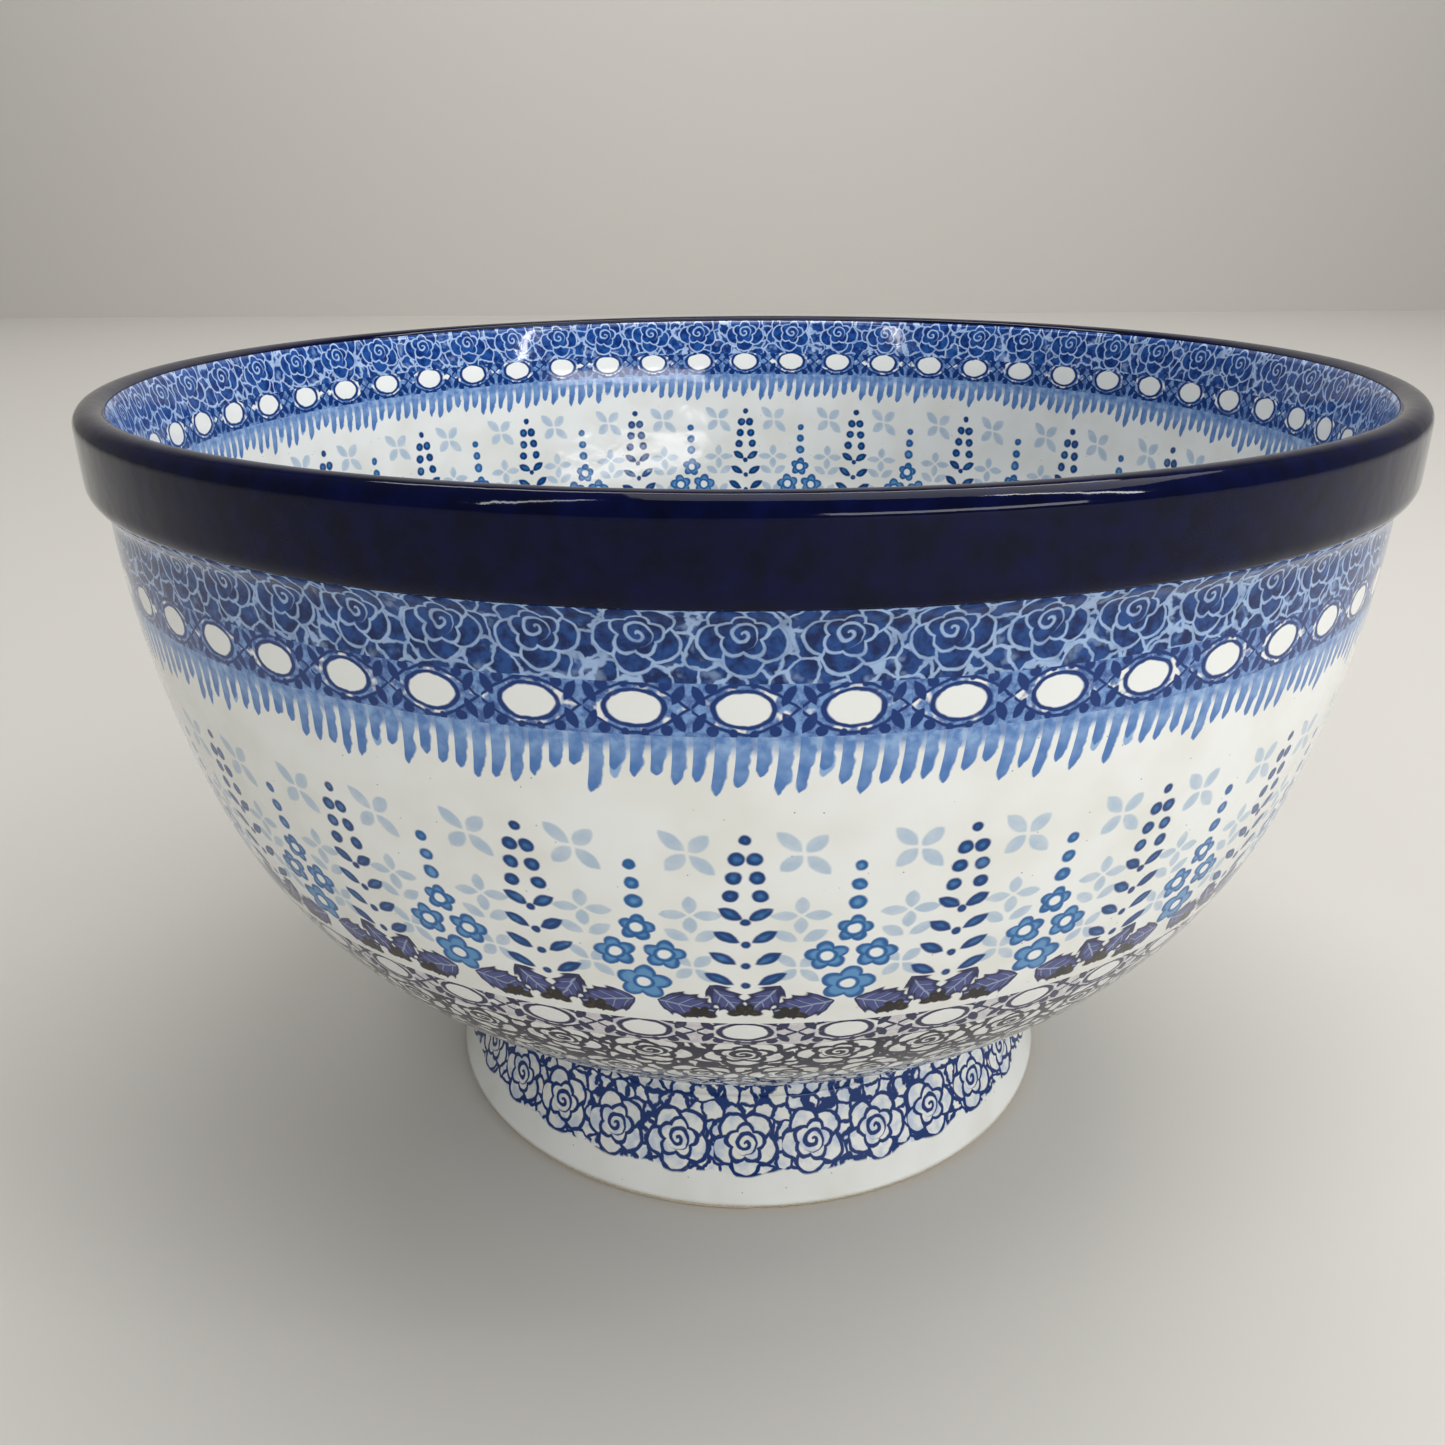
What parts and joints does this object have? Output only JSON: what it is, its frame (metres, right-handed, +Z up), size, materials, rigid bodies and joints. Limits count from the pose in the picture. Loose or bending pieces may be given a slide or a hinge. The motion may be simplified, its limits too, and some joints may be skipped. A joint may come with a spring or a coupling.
{
  "type": "punch bowl",
  "caption": "Deep round stoneware punch bowl with a thick rolled rim on a flared hollow foot ring, glazed over stamped floral bands.",
  "frame": {"origin": "centre of the foot's resting plane", "axes": "+Z up along the bowl's axis of revolution; +X and +Y level, at right angles to it"},
  "size_m": [0.32, 0.32, 0.192],
  "materials": {
    "stoneware_clay": "bare fired clay, matt",
    "decorated_inside": "gloss clear glaze over blue stamped floral bands on off-white",
    "decorated_outside": "gloss clear glaze over blue stamped floral bands on off-white",
    "cobalt_rim": "gloss dark cobalt glaze",
    "decorated_foot": "gloss clear glaze over dark blue stamped blossoms on off-white",
    "plain_underside": "gloss clear glaze on off-white"
  },
  "bodies": {
    "root": {"bowl_body": "stoneware_clay", "rim_band": "stoneware_clay", "foot_pedestal": "stoneware_clay", "luting_coil": "stoneware_clay", "inner_glaze": "decorated_inside", "outer_glaze": "decorated_outside", "rim_glaze": "cobalt_rim", "foot_glaze": "decorated_foot", "underside_glaze": "plain_underside"}
  },
  "joints": []
}
